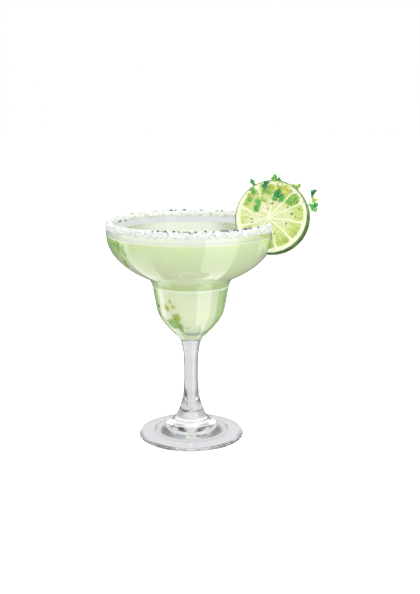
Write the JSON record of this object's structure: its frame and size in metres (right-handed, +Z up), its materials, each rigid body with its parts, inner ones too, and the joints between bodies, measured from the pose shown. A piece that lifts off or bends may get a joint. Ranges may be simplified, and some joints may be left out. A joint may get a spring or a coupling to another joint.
{
  "type": "margarita in a stemmed glass",
  "caption": "Pale green citrus cocktail in a stemmed glass with a stepped wide bowl, a salted rim and a lime wheel slit over the rim.",
  "frame": {"origin": "middle of the foot's flat underside, on the glass's axis", "axes": "+Z up along the stem; the lime wheel sits on the rim towards +X and a little towards -Y, its face towards -Y"},
  "size_m": [0.1434, 0.116, 0.1849],
  "materials": {
    "clear_glass": "clear, polished",
    "green_drink": "cloudy pale green liquid",
    "salt": "coarse white salt crust",
    "lime": "wet cut lime with green rind and chopped herb flakes"
  },
  "bodies": {
    "root": {"glass": "clear_glass", "drink": "green_drink", "salt_rim": "salt", "lime_wheel": "lime"}
  },
  "joints": []
}
